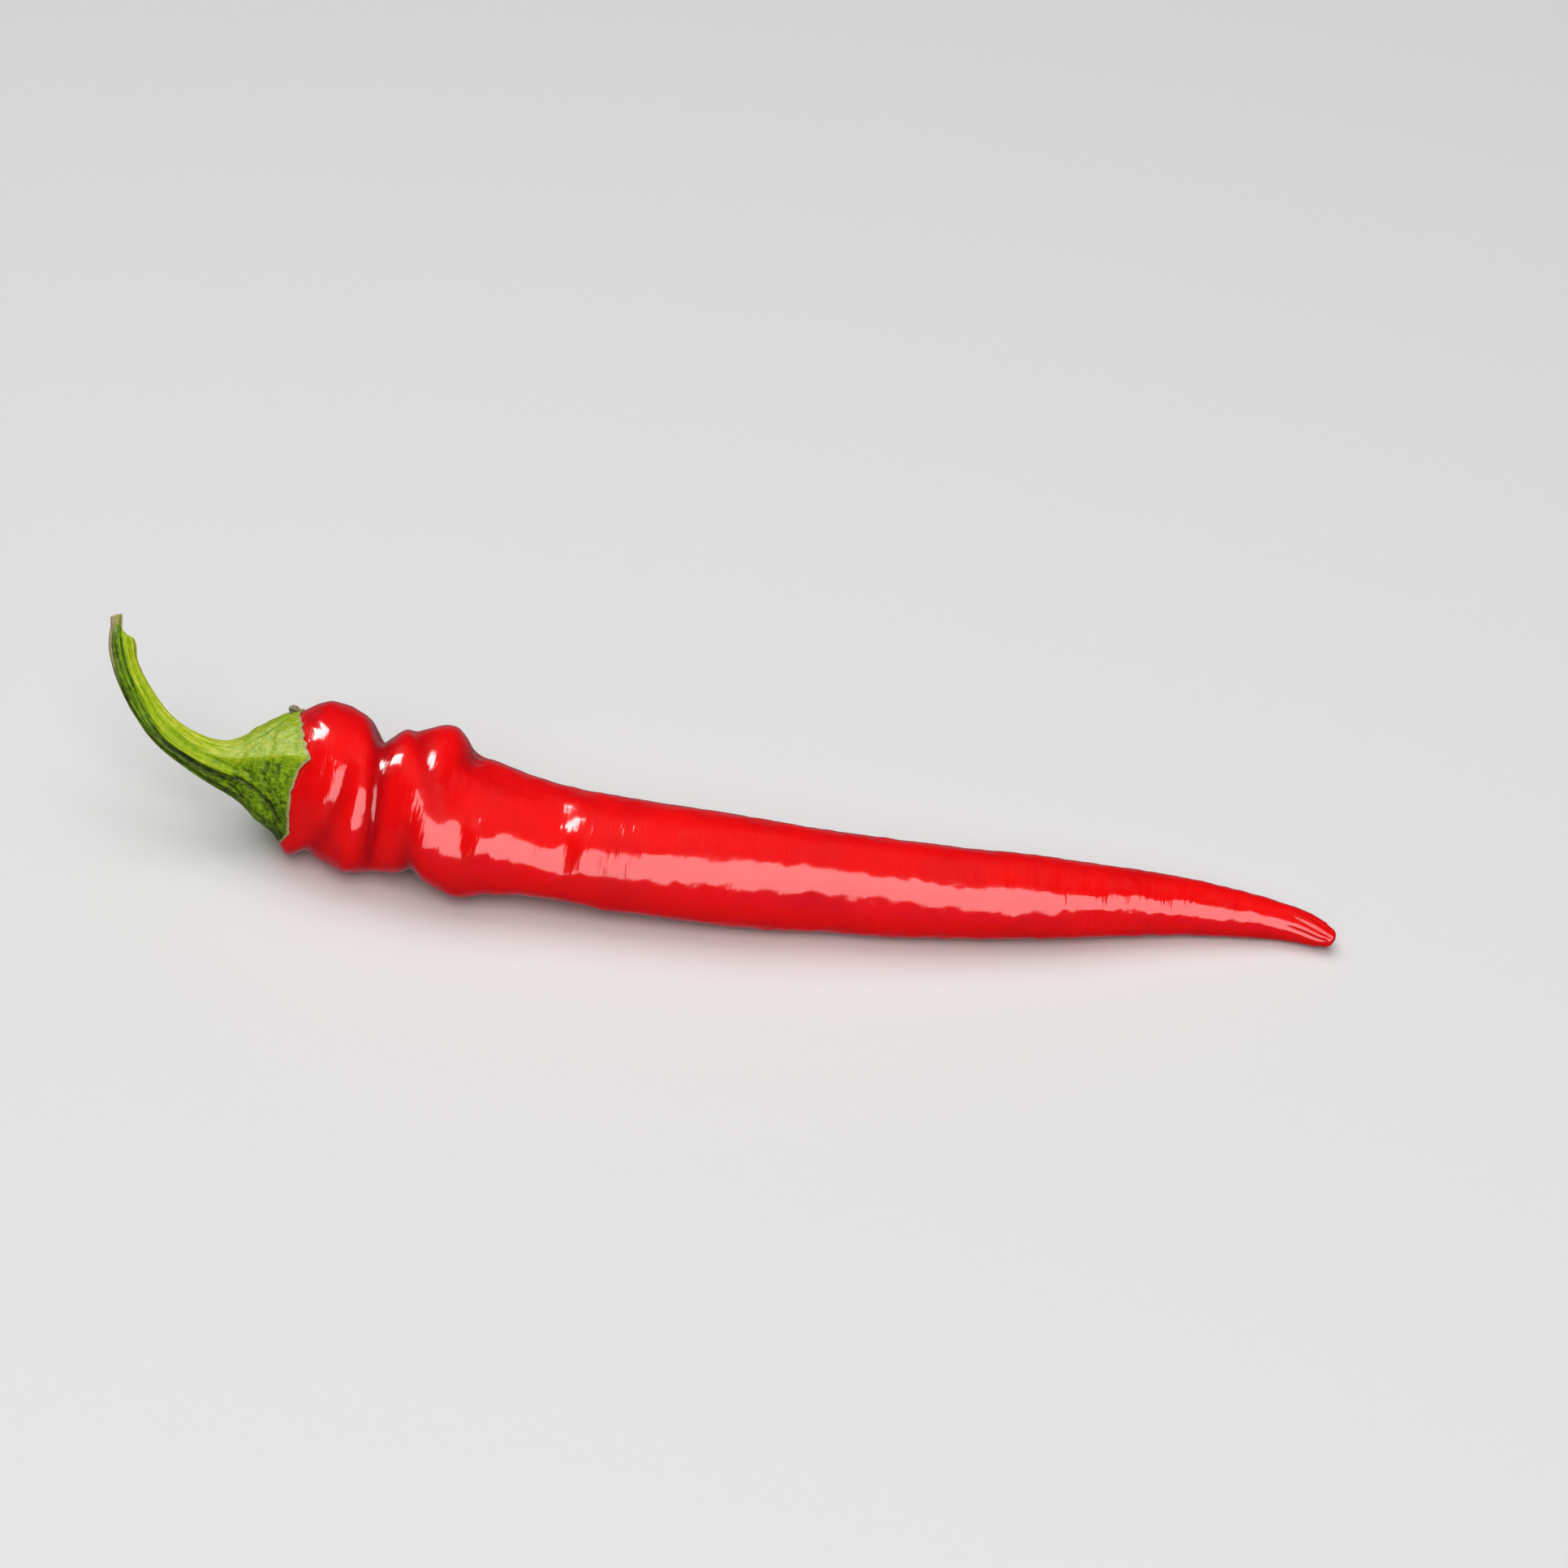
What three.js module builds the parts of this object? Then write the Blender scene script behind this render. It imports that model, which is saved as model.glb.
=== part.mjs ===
// A ripe red chilli pepper of the long cayenne kind, as picked, lying on its side on a flat surface.
//
// It has two pieces: the hollow-skinned fruit, modelled solid (pod), and the green stalk with the
// star-shaped calyx that caps the fruit's shoulder (stalk). Both follow one bent spine, which runs
// from the stalk's cut end to the fruit's tip.
//
// Units are millimetres and +Z is up. +X runs along the fruit towards its tip, the surface is z = 0,
// and the origin is on that surface under the middle of the pepper.
//
// Places on the pepper are given by two numbers:
//   station  distance along the spine from the calyx rim; negative on the stalk, positive on the fruit
//   side     degrees round the spine; 0 is the facing side, 90 the upper side, -90 the lower side

import * as THREE from "three";

// ---------------------------------------------------------------- driving dimensions
const FRUIT_TIP = 142.6; // station of the fruit's tip
const DOME_TOP = -4.2; // station of the fruit's dome, hidden inside the calyx
const STALK_END = -36.4; // station of the stalk's cut end
const SEAT_GAP = 0.3; // clearance between the fruit and the calyx that sits on it
const CONTACT_DEPTH = 0.25; // how far the soft fruit flattens where it rests on the surface

const FRUIT_SIDES = 48;
const STALK_SIDES = 60;
const STEPS_PER_SPAN = 2; // mesh rows between two neighbouring points of a profile

// The facing side looks forwards (-Y) and up. Sections are sheared to stay square to it.
const FACING = new THREE.Vector3(0.155, -0.804, 0.574).normalize();

// The spine, from the stalk's cut end to the fruit's tip. The stalk hooks up and back. The fruit
// bows forwards, and its last quarter turns back again.
const STALK_SPINE = [
  [-26.6, 10.2, 26.6],
  [-25.6, 6.4, 21.9],
  [-23.3, 3.4, 18.6],
  [-18.5, -0.1, 14.5],
  [-14.2, -1.5, 12.4],
  [-9.6, -2.1, 11.0],
  [-4.4, -1.7, 10.4],
];
const RIM_POINT = [0, -1.3, 9.9];
const FRUIT_SPINE = [
  [9, -3.0, 10.1],
  [16, -4.3, 10.0],
  [25, -5.5, 9.4],
  [33, -6.3, 8.7],
  [40, -7.0, 8.2],
  [50, -7.7, 7.6],
  [60, -7.7, 7.1],
  [75, -6.8, 6.4],
  [90, -5.3, 5.7],
  [105, -2.9, 5.0],
  [114, -0.9, 4.2],
  [120, 0.3, 3.6],
  [126, 1.0, 3.0],
  [132, 1.3, 2.4],
  [136, 0.9, 2.1],
  [143, -1.4, 1.5],
];

// Profiles: [station, radius] of the plain round body, before it is shaped.
const FRUIT_PROFILE = [
  [DOME_TOP, 0],
  [-4.0, 2.4],
  [-3.4, 4.6],
  [-2.4, 6.4],
  [-1.1, 7.8],
  [0.3, 8.8],
  [1.8, 9.45],
  [4.5, 9.95],
  [8.5, 10.15],
  [11.5, 10.0],
  [14.5, 9.85],
  [17.5, 9.7],
  [20.5, 9.45],
  [23.5, 9.05],
  [27, 8.5],
  [31, 8.0],
  [35, 7.6],
  [40, 7.35],
  [47, 7.35],
  [56, 7.45],
  [66, 7.25],
  [76, 6.7],
  [86, 6.3],
  [96, 5.85],
  [105, 5.25],
  [114, 4.55],
  [122, 3.8],
  [129, 3.15],
  [134, 2.6],
  [138, 2.1],
  [141, 1.5],
  [142.3, 0.8],
  [FRUIT_TIP, 0],
];
const STALK_PROFILE = [
  [STALK_END, 0],
  [STALK_END, 1.1],
  [-34.4, 1.45],
  [-32.5, 1.7],
  [-29, 1.75],
  [-25, 1.9],
  [-20.5, 2.05],
  [-17, 2.25],
  [-14, 2.5],
  [-11.5, 2.9],
  [-9.3, 3.45],
  [-7.4, 4.3],
  [-5.6, 5.6],
  [-4.0, 6.8],
  [-2.7, 7.6],
];
const CALYX_WALL = 1.1; // wall of the calyx where it leaves the stalk's flare
const CALYX_EDGE = 0.45; // wall of the calyx at its rim
const RIM_STATION = -1.2; // station of the rim between two teeth
const CALYX_ROWS = 8; // mesh rows from the flare to the rim, and again back under the rim

// Swellings of the fruit: bulges and hollows with a soft outline.
// [station, side, rise, half length in mm, half width in degrees]
const SWELLINGS = [
  [3.5, 88, 0.6, 3.6, 45],
  [0.8, -84, 1.5, 2.2, 36],
  [11.0, -80, 1.1, 3.8, 48],
  [13.0, 92, -1.3, 1.5, 34],
  [13.8, 30, 0.35, 1.6, 24],
  [20.3, 86, 2.1, 3.0, 42],
  [20.0, 150, 0.9, 4.5, 36],
  [24.3, -84, 1.2, 3.4, 42],
  [24.0, 10, 0.35, 5.0, 30],
  [33.0, -95, 0.3, 2.6, 34],
  [37.0, 24, 0.25, 2.6, 20],
  [46.5, -86, 0.5, 3.6, 36],
  [7.0, 178, 0.6, 4.2, 46],
  [16.5, -168, 0.45, 4.0, 34],
  [31.0, 172, 0.4, 5.5, 40],
  [58.0, 140, 0.3, 8.0, 42],
  [84.0, -60, 0.18, 6.0, 40],
  [101.0, 60, 0.18, 5.0, 44],
];

// Folds of the fruit: grooves that run round it. Each is a chain of [station, side, depth] points.
const FOLD_WIDTH = 1.35;
const SHOULDER_RADIUS = 10;
const FOLDS = [
  [
    [13.6, 165, 0.7],
    [11.9, 128, 1.5],
    [11.0, 90, 2.4],
    [12.4, 40, 1.3],
    [12.9, 0, 1.0],
    [12.5, -45, 0.7],
    [11.8, -78, 0.2],
  ],
  [
    [18.6, -22, 0.2],
    [19.8, -62, 0.9],
    [20.1, -92, 1.5],
    [18.2, -128, 0.9],
    [16.0, -150, 0.3],
  ],
  [
    [7.4, 12, 0.25],
    [6.2, -35, 0.45],
    [4.2, -80, 0.55],
    [2.8, -110, 0.3],
  ],
  [
    [15.4, 100, 0.5],
    [15.8, 62, 0.5],
    [16.0, 30, 0.25],
  ],
  [
    [25.0, 105, 0.9],
    [24.7, 78, 0.9],
    [24.2, 55, 0.4],
  ],
  [
    [30.2, -70, 0.15],
    [30.1, -96, 0.3],
    [29.4, -125, 0.15],
  ],
];

// Teeth of the calyx: [side, length].
const TEETH = [
  [90, 0.5],
  [12, 3.3],
  [-48, 2.5],
  [-132, 2.0],
  [156, 2.4],
];
const TOOTH_WIDTH = 20; // degrees from a tooth's point to where its edge levels out
const RIB_HEIGHT = 0.32; // ribs of the calyx, one running back from each tooth
const RIB_WIDTH = 17;

// ---------------------------------------------------------------- spine
const spine = new THREE.CatmullRomCurve3(
  [...STALK_SPINE, RIM_POINT, ...FRUIT_SPINE].map((p) => new THREE.Vector3(...p)),
);
const SPINE_DIVISIONS = 100 * (spine.points.length - 1);
spine.arcLengthDivisions = SPINE_DIVISIONS;
const spineLengths = spine.getLengths(SPINE_DIVISIONS);
const spineLength = spineLengths[SPINE_DIVISIONS];
const rimLength = spineLengths[100 * STALK_SPINE.length];

// The point of the pepper at a station, a distance from the spine and a side.
function place(station, radius, side) {
  const u = THREE.MathUtils.clamp((rimLength + station) / spineLength, 0, 1);
  const up = new THREE.Vector3().crossVectors(FACING, spine.getTangentAt(u)).normalize();
  const angle = THREE.MathUtils.degToRad(side);
  return spine
    .getPointAt(u)
    .addScaledVector(FACING, radius * Math.cos(angle))
    .addScaledVector(up, radius * Math.sin(angle));
}

// ---------------------------------------------------------------- shaping
const bell = (x) => Math.exp(-x * x);
const turn = (a, b) => THREE.MathUtils.euclideanModulo(a - b + 180, 360) - 180;

// A curve through a profile's points, read as radius at a station.
function radiusOf(profile) {
  const curve = new THREE.SplineCurve(profile.map(([s, r]) => new THREE.Vector2(r, s)));
  const points = curve.getPoints(40 * (profile.length - 1));
  return (station) => {
    const next = Math.max(1, points.findIndex((p) => p.y >= station));
    const [a, b] = [points[next - 1], points[next]];
    return THREE.MathUtils.mapLinear(station, a.y, b.y, a.x, b.x);
  };
}

// Depth of one straight stretch of a fold at a place, in mm.
function stretchDepth(station, side, from, to) {
  const mmPerDegree = THREE.MathUtils.degToRad(SHOULDER_RADIUS);
  const run = new THREE.Vector2(to[0] - from[0], turn(to[1], from[1]) * mmPerDegree);
  const here = new THREE.Vector2(station - from[0], turn(side, from[1]) * mmPerDegree);
  const share = THREE.MathUtils.clamp(here.dot(run) / run.lengthSq(), 0, 1);
  const away = here.distanceTo(run.multiplyScalar(share));
  return THREE.MathUtils.lerp(from[2], to[2], share) * bell(away / FOLD_WIDTH);
}

const plainFruit = radiusOf(FRUIT_PROFILE);

// How far the fruit's skin stands out from its plain round body, in mm.
function relief(station, side) {
  const fade = THREE.MathUtils.smoothstep(station, DOME_TOP, 1);
  let rise = 0;
  for (const [at, towards, height, length, width] of SWELLINGS)
    rise += height * bell((station - at) / length) * bell(turn(side, towards) / width);
  for (const fold of FOLDS) {
    const depths = fold.slice(1).map((to, i) => stretchDepth(station, side, fold[i], to));
    rise -= Math.max(...depths);
  }
  return fade * rise;
}

// More rows along a profile, by a smooth curve through its points.
function refine(profile) {
  const curve = new THREE.SplineCurve(profile.map(([s, r]) => new THREE.Vector2(r, s)));
  return curve
    .getPoints(STEPS_PER_SPAN * (profile.length - 1))
    .map((p) => [p.y, Math.max(0, p.x)]);
}

// A closed body round the spine. Each row is a function from side to [station, radius].
function wrap(rows, sides) {
  const lathe = new THREE.LatheGeometry(
    rows.map((_, row) => new THREE.Vector2(1, row)),
    sides,
  );
  const position = lathe.getAttribute("position");
  for (let i = 0; i < position.count; i++) {
    const side = (-360 * Math.floor(i / rows.length)) / sides;
    const [station, radius] = rows[i % rows.length](side);
    position.setXYZ(i, ...place(station, radius, side));
  }
  return lathe;
}

// ---------------------------------------------------------------- fruit
const fruitRows = refine(FRUIT_PROFILE);
const skin = (station, side) => plainFruit(station) + relief(station, side);

const makeFruit = () =>
  wrap(
    fruitRows.map(([station, radius]) => (side) => [station, radius + relief(station, side)]),
    FRUIT_SIDES,
  );

// ---------------------------------------------------------------- stalk and calyx
const toothAt = (side, [at, length]) => length * Math.exp(-Math.abs(turn(side, at)) / TOOTH_WIDTH);
const rimAt = (side) => TEETH.reduce((sum, tooth) => sum + toothAt(side, tooth), RIM_STATION);
const ribAt = (side) => TEETH.reduce((sum, [at]) => sum + RIB_HEIGHT * bell(turn(side, at) / RIB_WIDTH), 0);

// The rows run up the stalk and its flare, out along the calyx to its toothed rim, and back under
// it, over the fruit's shoulder and dome, to the spine.
function makeStalk() {
  const flare = [STALK_PROFILE[0], ...refine(STALK_PROFILE.slice(1))];
  const [flareEnd, flareRadius] = flare[flare.length - 1];
  const toRim = (share, side) => THREE.MathUtils.lerp(flareEnd, rimAt(side), share);
  const shares = Array.from({ length: CALYX_ROWS }, (_, i) => (i + 1) / CALYX_ROWS);

  const outside = (station, radius, side) => radius + ribAt(side) * Math.sqrt(radius / flareRadius);
  const seat = (station, side) => skin(station + SEAT_GAP, side) + SEAT_GAP;
  const wall = (share, side) => THREE.MathUtils.lerp(CALYX_WALL + ribAt(side), CALYX_EDGE, share);

  return wrap(
    [
      () => STALK_PROFILE[0],
      ...flare.slice(1).map(([s, r]) => (side) => [s, outside(s, r, side)]),
      ...shares.map((share) => (side) => {
        const station = toRim(share, side);
        return [station, skin(station, side) + SEAT_GAP + wall(share, side)];
      }),
      ...shares.toReversed().map((share) => (side) => {
        const station = toRim(share, side);
        return [station, seat(station, side)];
      }),
      ...fruitRows
        .filter(([s, r]) => s < flareEnd && r > 0)
        .toReversed()
        .map(([s]) => (side) => [s - SEAT_GAP, seat(s - SEAT_GAP, side)]),
      () => [DOME_TOP - SEAT_GAP, 0],
    ],
    STALK_SIDES,
  );
}

// ---------------------------------------------------------------- resting place
// Lowers the pepper until the fruit's underside reaches CONTACT_DEPTH below the surface, flattens
// what is below it, and brings the middle of its outline over the origin.
function settle(geometries) {
  const box = new THREE.Box3();
  for (const g of geometries) box.union(new THREE.Box3().setFromBufferAttribute(g.getAttribute("position")));
  const centre = box.getCenter(new THREE.Vector3());
  for (const g of geometries) {
    g.translate(-centre.x, -centre.y, -box.min.z - CONTACT_DEPTH);
    const position = g.getAttribute("position");
    for (let i = 0; i < position.count; i++) position.setZ(i, Math.max(0, position.getZ(i)));
    g.computeVertexNormals();
  }
}

const fruitGeometry = makeFruit();
const stalkGeometry = makeStalk();
settle([fruitGeometry, stalkGeometry]);

const pod = new THREE.Mesh(
  fruitGeometry,
  new THREE.MeshStandardMaterial({ color: 0xd3120c, roughness: 0.2, metalness: 0 }),
);
pod.name = "pod";

const stalk = new THREE.Mesh(
  stalkGeometry,
  new THREE.MeshStandardMaterial({ color: 0x6f9a1b, roughness: 0.5, metalness: 0 }),
);
stalk.name = "stalk";

const chilli = new THREE.Group();
chilli.add(pod, stalk);

export default chilli;
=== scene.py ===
# A ripe long red chilli pepper lying on its side: the glossy fruit, the ribbed green stalk with the
# toothed calyx that caps it, and the dry curled tip of a sepal on the calyx's rim. The fruit and the
# stalk follow one bent spine, as do the CAD solids that they replace.
#
# The pepper's own numbers are in millimetres. A place on it is given by two of them:
#   station  distance along the spine from the calyx rim; negative on the stalk, positive on the fruit
#   side     degrees round the spine; 0 is the facing side, 90 the upper side, -90 the lower side

import bpy
import numpy as np
from mathutils import Matrix


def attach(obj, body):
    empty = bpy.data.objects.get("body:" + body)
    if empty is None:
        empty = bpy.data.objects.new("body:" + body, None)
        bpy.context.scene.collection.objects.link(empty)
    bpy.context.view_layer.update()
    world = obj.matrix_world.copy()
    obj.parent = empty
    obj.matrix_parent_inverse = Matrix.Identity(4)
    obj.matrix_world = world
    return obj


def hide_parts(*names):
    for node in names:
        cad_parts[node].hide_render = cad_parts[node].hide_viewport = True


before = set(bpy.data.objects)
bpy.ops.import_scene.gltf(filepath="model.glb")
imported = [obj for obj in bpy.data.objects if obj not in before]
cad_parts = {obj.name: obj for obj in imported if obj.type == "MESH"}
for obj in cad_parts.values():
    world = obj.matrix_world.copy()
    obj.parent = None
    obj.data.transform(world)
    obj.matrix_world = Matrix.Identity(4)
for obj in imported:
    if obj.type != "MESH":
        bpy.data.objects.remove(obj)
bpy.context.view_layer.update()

MM = 0.001  # metres in a millimetre

# ---------------------------------------------------------------- spine and profiles
FACING = np.array([0.155, -0.804, 0.574]) / np.linalg.norm([0.155, -0.804, 0.574])
SETTLED = np.array([-56.66478, 2.48832, 0.14042])  # where the pepper is moved to rest over the origin

STALK_SPINE = [
    (-26.6, 10.2, 26.6),
    (-25.6, 6.4, 21.9),
    (-23.3, 3.4, 18.6),
    (-18.5, -0.1, 14.5),
    (-14.2, -1.5, 12.4),
    (-9.6, -2.1, 11.0),
    (-4.4, -1.7, 10.4),
]
RIM_POINT = (0, -1.3, 9.9)
FRUIT_SPINE = [
    (9, -3.0, 10.1),
    (16, -4.3, 10.0),
    (25, -5.5, 9.4),
    (33, -6.3, 8.7),
    (40, -7.0, 8.2),
    (50, -7.7, 7.6),
    (60, -7.7, 7.1),
    (75, -6.8, 6.4),
    (90, -5.3, 5.7),
    (105, -2.9, 5.0),
    (114, -0.9, 4.2),
    (120, 0.3, 3.6),
    (126, 1.0, 3.0),
    (132, 1.3, 2.4),
    (136, 0.9, 2.1),
    (143, -1.4, 1.5),
]

# Profiles: (station, radius) of the plain round body, before it is shaped.
DOME_TOP = -4.2
FRUIT_TIP = 142.6
FRUIT_PROFILE = [
    (DOME_TOP, 0), (-4.0, 2.4), (-3.4, 4.6), (-2.4, 6.4), (-1.1, 7.8), (0.3, 8.8), (1.8, 9.45),
    (4.5, 9.95), (8.5, 10.15), (11.5, 10.0), (14.5, 9.85), (17.5, 9.7), (20.5, 9.45), (23.5, 9.05),
    (27, 8.5), (31, 8.0), (35, 7.6), (40, 7.35), (47, 7.35), (56, 7.45), (66, 7.25), (76, 6.7),
    (86, 6.3), (96, 5.85), (105, 5.25), (114, 4.55), (122, 3.8), (129, 3.15), (134, 2.6), (138, 2.15),
    (140.8, 1.65), (142.2, 1.05), (FRUIT_TIP, 0),
]  # fmt: skip
STALK_END = -36.4
STALK_PROFILE = [
    (STALK_END, 1.1), (-34.4, 1.45), (-32.5, 1.7), (-29, 1.75), (-25, 1.9), (-20.5, 2.05), (-17, 2.25),
    (-14, 2.5), (-11.5, 2.9), (-9.3, 3.45), (-7.4, 4.3), (-5.6, 5.6), (-4.0, 6.8), (-2.7, 7.6),
]  # fmt: skip

# Swellings of the fruit: (station, side, rise, half length in mm, half width in degrees).
SWELLINGS = [
    (3.5, 88, 0.6, 3.6, 45),
    (3.3, 48, 1.0, 2.25, 42),
    (5.6, 34, 0.4, 1.9, 20),
    (6.4, 62, 0.25, 2.6, 40),
    (10.6, 78, -0.8, 2.4, 45),
    (10.6, -46, 0.5, 1.7, 28),
    (15.2, -8, -0.45, 1.9, 32),
    (0.8, -84, 1.5, 2.2, 36),
    (11.0, -80, 1.1, 3.8, 48),
    (13.0, 92, -1.3, 1.5, 34),
    (15.5, 40, 0.5, 1.5, 26),
    (20.8, 86, 2.1, 3.0, 42),
    (20.0, 150, 0.9, 4.5, 36),
    (26.3, -84, 1.2, 3.2, 42),
    (21.5, -34, 0.7, 3.6, 26),
    (25.0, 35, 0.45, 2.6, 26),
    (24.0, 17, -0.5, 4.0, 22),
    (19.8, 26, 0.55, 2.4, 20),
    (25.3, -14, -0.5, 2.0, 28),
    (28.6, -20, 0.5, 1.6, 18),
    (36.4, 6, -0.26, 2.3, 17),
    (29.0, -86, 0.6, 3.0, 36),
    (33.0, -95, 0.3, 2.6, 34),
    (38.4, 33, -0.42, 1.9, 26),
    (41.6, 40, 0.2, 1.8, 18),
    (39.6, 60, 0.26, 2.5, 18),
    (39.9, -14, -0.5, 1.5, 20),
    (46.5, -86, 0.5, 3.6, 36),
    (7.0, 178, 0.6, 4.2, 46),
    (16.5, -168, 0.45, 4.0, 34),
    (31.0, 172, 0.4, 5.5, 40),
    (58.0, 140, 0.3, 8.0, 42),
    (84.0, -60, 0.18, 6.0, 40),
    (101.0, 60, 0.18, 5.0, 44),
    (105.0, -19, -0.15, 13.0, 25),
    (74.0, -24, -0.08, 3.0, 20),
    (90.0, -26, 0.07, 2.4, 20),
]

# Folds of the fruit: chains of (station, side, depth), with the width of the groove in mm.
FOLDS = [
    (1.35, [(13.6, 165, 0.7), (11.9, 128, 1.5), (11.2, 90, 2.4), (12.4, 40, 1.3), (13.2, 0, 1.0), (13.8, -30, 0.8),
            (13.9, -60, 0.6), (13.6, -85, 0.2)]),
    (1.35, [(18.6, -22, 0.2), (19.8, -62, 0.9), (20.1, -92, 1.5), (18.2, -128, 0.9), (16.0, -150, 0.3)]),
    (1.2, [(8.0, 26, 0.05), (8.6, 14, 0.35), (8.4, -5, 0.45), (7.2, -35, 0.45), (4.4, -80, 0.55), (2.8, -110, 0.3)]),
    (0.5, [(13.3, 0, 0.05), (13.8, -30, 0.4), (13.9, -60, 0.4), (13.7, -80, 0.1)]),
    (0.3, [(0.3, 66, 0.1), (1.5, 52, 0.22), (2.6, 44, 0.2), (3.8, 39, 0.08)]),
    (0.25, [(1.4, 70, 0.08), (2.3, 60, 0.14), (3.0, 56, 0.06)]),
    (1.2, [(15.4, 105, 0.4), (16.2, 80, 0.6), (18.2, 48, 0.6), (19.8, 24, 0.4), (21.2, 8, 0.1)]),
    (1.3, [(25.0, 105, 0.9), (24.7, 78, 0.9), (24.2, 55, 0.4)]),
    (1.35, [(30.2, -70, 0.15), (30.1, -96, 0.3), (29.4, -125, 0.15)]),
    # The shrivelled tip, measured at its own radius.
    (0.26, [(135.2, 26, 0.05), (137.5, 17, 0.18), (140.0, 8, 0.24), (141.8, 3, 0.1)], 2),
    (0.24, [(136.6, 52, 0.05), (138.6, 45, 0.16), (141.4, 38, 0.14)], 2),
    (0.26, [(133.5, -6, 0.04), (137.0, -15, 0.15), (140.8, -26, 0.16)], 2),
    (0.24, [(137.2, 84, 0.05), (139.5, 80, 0.16), (141.4, 84, 0.12)], 2),
    (0.26, [(136.0, 128, 0.05), (139.0, 134, 0.18), (141.4, 128, 0.12)], 2),
    (0.26, [(136.5, -70, 0.05), (139.0, -62, 0.16), (141.4, -68, 0.12)], 2),
    (0.26, [(136.5, -128, 0.05), (139.0, -120, 0.18), (141.4, -130, 0.12)], 2),
    (0.34, [(141.3, -179, 0.14), (141.0, -90, 0.16), (141.4, 0, 0.16), (141.2, 90, 0.14), (141.3, 179, 0.14)], 2),
]  # fmt: skip

# The fruit's section isn't quite round: (station, how far it swells below the front, how far it hangs).
SECTION = [
    (-5, 0, 0), (12, 0, 0), (18, 0.2, 0.1), (22, 0.7, 0.3), (26, 1.0, 0.5), (31, 1.0, 0.6), (38, 0.9, 0.5),
    (45, 0.6, 0.1), (50, 0.35, 0), (60, 0, 0), (70, -0.15, 0), (80, -0.3, 0), (87, -0.15, 0), (96, 0.1, 0),
    (105, 0.15, 0), (115, 0, 0), (150, 0, 0),
]  # fmt: skip
SHOULDER_RADIUS = 10

# Rim of the calyx: (side, station) round its five teeth. Each tooth has a keel that runs back from its point.
FRONT_TOOTH = 15.5
CALYX_RIM = [
    (-150, -0.5), (-139, 0.3), (-132, 1.0), (-124, 0.2), (-110, -0.7), (-90, -1.4), (-74, -0.8), (-57, 0.9),
    (-47, 1.75), (-37, 1.5), (-22, 1.25), (-16, 1.2), (-8, 1.4), (0, 1.5), (6, 1.8), (11, 2.4), (FRONT_TOOTH, 3.4),
    (19, 2.6), (23, 2.0), (30, 1.65), (41, 0.85), (63, -0.1), (85, -0.45), (97, -0.2), (112, -0.9), (135, -0.5),
    (148, 0.5), (156, 1.5), (165, 0.4), (180, -0.7),
]  # fmt: skip
KEELS = [(88, 0.25), (FRONT_TOOTH, 0.5), (-47, 0.3), (-132, 0.35), (156, 0.35)]  # side and height
KEEL_WIDTH = 9
CALYX_EDGE = 0.34
CALYX_SEAT = 0.05  # the calyx all but touches the skin that it grew with

# Furrows between the stalk's ridges, and wrinkles of the calyx: as the folds, with the radius they are measured at.
STALK_FURROWS = [
    (0.34, [(-36, 12, 0.1), (-33, 14, 0.3), (-29.5, 16, 0.36), (-24, 2, 0.36), (-18, -30, 0.4), (-12, -28, 0.4),
            (-7, -24, 0.15)], 2),
    (0.28, [(-34, 52, 0.1), (-27, 42, 0.22), (-20, 28, 0.25), (-14, 14, 0.3), (-8, 0, 0.25), (-4, -4, 0.1)], 2),
    (0.26, [(-36, -48, 0.15), (-31, -52, 0.24), (-26, -60, 0.2), (-20, -66, 0.2), (-13, -60, 0.22), (-7, -58, 0.1)], 2),
    (0.2, [(-33, -14, 0.1), (-27, -20, 0.16), (-21, -40, 0.1)], 2),
    (0.22, [(-33, 80, 0.1), (-26, 72, 0.2), (-18, 58, 0.16), (-10, 46, 0.1)], 2),
    (0.3, [(-35, 112, 0.15), (-25, 108, 0.26), (-14, 116, 0.26), (-8, 120, 0.1)], 2),
    (0.3, [(-35, 152, 0.15), (-25, 158, 0.28), (-14, 160, 0.24), (-8, 172, 0.1)], 2),
    (0.3, [(-35, -158, 0.15), (-25, -152, 0.28), (-14, -164, 0.24), (-8, -164, 0.1)], 2),
    (0.28, [(-35, -104, 0.15), (-25, -108, 0.26), (-14, -100, 0.24), (-8, -96, 0.1)], 2),
    (0.5, [(-7.5, -16, 0.3), (-4.5, -22, 0.35), (-2.2, -30, 0.4), (-0.2, -40, 0.2)], 9),
    (0.45, [(-7.5, -40, 0.25), (-5, -50, 0.3), (-2.8, -62, 0.3)], 9),
    (0.4, [(-1.0, 10, 0.16), (-1.5, -1, 0.2), (-1.0, -12, 0.05)], 9),
    (0.45, [(-3.0, 9, 0.16), (-3.5, -3, 0.24), (-2.6, -15, 0.08)], 9),
    (0.4, [(-5.2, 7, 0.1), (-5.6, -5, 0.16), (-4.6, -12, 0.05)], 9),
    (0.35, [(-0.3, -24, 0.2), (-1.6, -14, 0.2), (-2.4, -20, 0.1)], 9),
    (0.5, [(-6.5, 44, 0.14), (-3.5, 52, 0.2), (-1.5, 66, 0.12)], 9),
]  # fmt: skip


def bell(x):
    return np.exp(-x * x)


def turn(a, b):
    return (a - b + 180) % 360 - 180


def ease(x, start, end):
    """0 before start and 1 after end, with a soft change between them."""
    share = np.clip((x - start) / (end - start), 0, 1)
    return share * share * (3 - 2 * share)


def cubic(start, end, leave, arrive, t):
    """Points of a cubic curve from start to end, with the speeds at which it leaves and arrives."""
    gap = end - start
    return start + leave * t + (3 * gap - 2 * leave - arrive) * t**2 + (-2 * gap + leave + arrive) * t**3


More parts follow.
